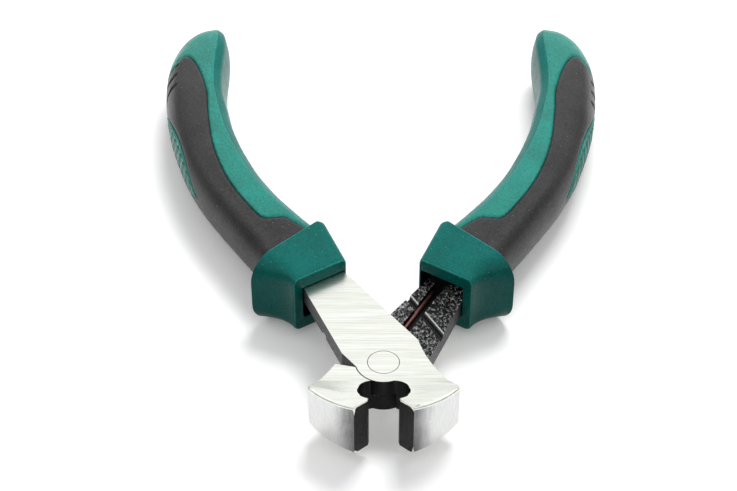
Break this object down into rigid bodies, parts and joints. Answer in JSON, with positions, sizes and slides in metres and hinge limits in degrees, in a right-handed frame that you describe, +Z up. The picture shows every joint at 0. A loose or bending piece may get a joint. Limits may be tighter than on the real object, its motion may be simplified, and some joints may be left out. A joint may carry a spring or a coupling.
{
  "type": "end cutting nippers",
  "caption": "Small end cutting nippers lying open: half-lap levers on a flush rivet, a wire return spring, and two-material grips with finger guards.",
  "frame": {"origin": "under the middle of the open tool's box, on the surface that it lies on", "axes": "+X to the right seen from the jaws, +Y from the jaws along the tool's axis towards the handles' ends, +Z up along the pivot"},
  "size_m": [0.0902, 0.114, 0.0154],
  "materials": {
    "ground_steel": "forged tool steel, faces surface ground, edges and throat left black",
    "rivet_steel": "steel, ground flush with the lever faces",
    "spring_wire": "thin drawn wire with a copper tone",
    "hard_grip": "hard moulded plastic, teal, fine satin texture",
    "soft_grip": "soft moulded elastomer, charcoal, satin"
  },
  "bodies": {
    "lower_half": {"lower_lever": "ground_steel", "pivot_rivet": "rivet_steel", "return_spring": "spring_wire", "right_grip_body": "hard_grip", "right_grip_cover": "soft_grip"},
    "upper_half": {"upper_lever": "ground_steel", "left_grip_body": "hard_grip", "left_grip_cover": "soft_grip"}
  },
  "joints": [
    {"name": "pivot", "type": "hinge", "parent": "lower_half", "child": "upper_half", "pos_m": [0, -0.04381, 0.0077], "axis": [0, 0, 1], "range_deg": [-26.4, 5], "stiffness_Nm_per_rad": 0.15, "deforming": ["return_spring"]}
  ]
}
